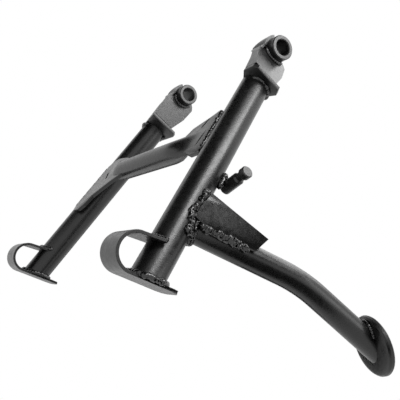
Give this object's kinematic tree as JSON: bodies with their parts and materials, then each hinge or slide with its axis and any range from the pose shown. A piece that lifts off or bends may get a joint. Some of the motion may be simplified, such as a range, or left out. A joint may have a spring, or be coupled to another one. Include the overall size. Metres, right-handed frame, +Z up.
{
  "type": "motorcycle centre stand",
  "caption": "Welded tubular centre stand for a motorcycle: two splayed legs with flat feet, a cross tube, pivot bushes and a foot lever with a round pad.",
  "frame": {"origin": "centre of the box's underside, on the ground plane on which both feet and the pad's lower rim rest", "axes": "+X to the motorcycle's left (lever side), +Y to its rear, +Z up, stand deployed"},
  "size_m": [0.3618, 0.275, 0.2838],
  "materials": {
    "powder_coat": "satin to semi-gloss black powder coat over welded steel"
  },
  "bodies": {
    "root": {"cheek_inner_left": "powder_coat", "cheek_inner_right": "powder_coat", "cheek_outer_left": "powder_coat", "cheek_outer_right": "powder_coat", "cross_tube": "powder_coat", "foot_pad": "powder_coat", "foot_strap_left": "powder_coat", "foot_strap_right": "powder_coat", "gusset_channel": "powder_coat", "leg_tube_left": "powder_coat", "leg_tube_right": "powder_coat", "lever_tube": "powder_coat", "pivot_base_left": "powder_coat", "pivot_base_right": "powder_coat", "pivot_bush_left": "powder_coat", "pivot_bush_right": "powder_coat", "spring_peg": "powder_coat", "weld_arm_left": "powder_coat", "weld_arm_right": "powder_coat", "weld_bush_inner_left": "powder_coat", "weld_bush_inner_right": "powder_coat", "weld_bush_outer_left": "powder_coat", "weld_bush_outer_right": "powder_coat", "weld_cross_left": "powder_coat", "weld_cross_right": "powder_coat", "weld_foot_left": "powder_coat", "weld_foot_right": "powder_coat", "weld_gusset_leg": "powder_coat", "weld_gusset_lever": "powder_coat", "weld_leg_top_left": "powder_coat", "weld_leg_top_right": "powder_coat", "weld_lever_root": "powder_coat", "weld_pad": "powder_coat", "weld_peg": "powder_coat"}
  },
  "joints": []
}
